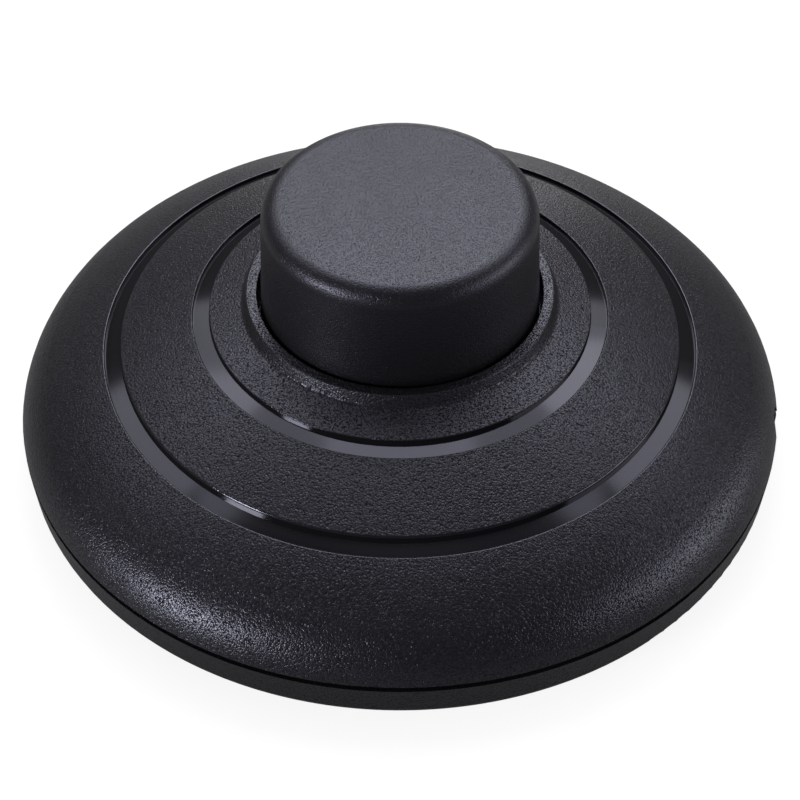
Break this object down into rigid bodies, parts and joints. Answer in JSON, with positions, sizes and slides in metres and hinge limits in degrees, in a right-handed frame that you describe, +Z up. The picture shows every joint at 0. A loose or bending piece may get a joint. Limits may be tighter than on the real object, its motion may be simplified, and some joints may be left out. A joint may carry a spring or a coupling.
{
  "type": "lamp foot switch",
  "caption": "Round floor switch for a lamp cord: low domed case with polished ring grooves, a tall press button in a raised collar, and a cord inlet on opposite sides.",
  "frame": {"origin": "on the button's axis, in the plane that the rubber feet stand on", "axes": "+Z up along the button's axis, against its travel; +X out of the cord outlet, along the cord"},
  "size_m": [0.0998, 0.1, 0.0389],
  "materials": {
    "case_plastic": "black moulded plastic with a fine spark-eroded grain, polished in the grooves",
    "button_plastic": "black moulded plastic, satin top and finely grained wall",
    "inner_plastic": "dark grey moulded plastic",
    "nylon": "natural moulded nylon",
    "contact_brass": "stamped brass strip",
    "contact_silver": "silver alloy",
    "plated_steel": "zinc-plated steel",
    "spring_steel": "drawn spring wire",
    "foot_rubber": "soft black rubber"
  },
  "bodies": {
    "housing": {"upper_cover": "case_plastic", "base_plate": "case_plastic", "mechanism_housing": "inner_plastic", "cord_clamp_in": "inner_plastic", "cord_clamp_out": "inner_plastic", "live_in_contact": "contact_brass", "live_out_contact": "contact_brass", "neutral_link": "contact_brass", "contact_tips": "contact_silver", "case_screws": "plated_steel", "clamp_screws": "plated_steel", "terminal_screws": "plated_steel", "strip_screws": "plated_steel", "housing_screws": "plated_steel", "pivot_pin": "plated_steel", "return_spring": "spring_steel", "rubber_foot_1": "foot_rubber", "rubber_foot_2": "foot_rubber", "rubber_foot_3": "foot_rubber"},
    "button": {"push_button": "button_plastic", "plunger": "nylon"},
    "rotor": {"ratchet_rotor": "nylon", "contact_bridge": "contact_brass"}
  },
  "joints": [
    {"name": "button_press", "type": "slide", "parent": "housing", "child": "button", "axis": [0, 0, -1], "range_m": [0, 0.0045], "stiffness_N_per_m": 1500, "springref_m": -0.0035, "deforming": ["return_spring"]},
    {"name": "rotor_turn", "type": "hinge", "parent": "housing", "child": "rotor", "pos_m": [0, 0, 0.0082], "axis": [0, 0, 1], "range_deg": [0, 45]}
  ],
  "couplings": [
    {"joint": "rotor_turn", "follows": "button_press", "rad_per_m": 155.14}
  ]
}
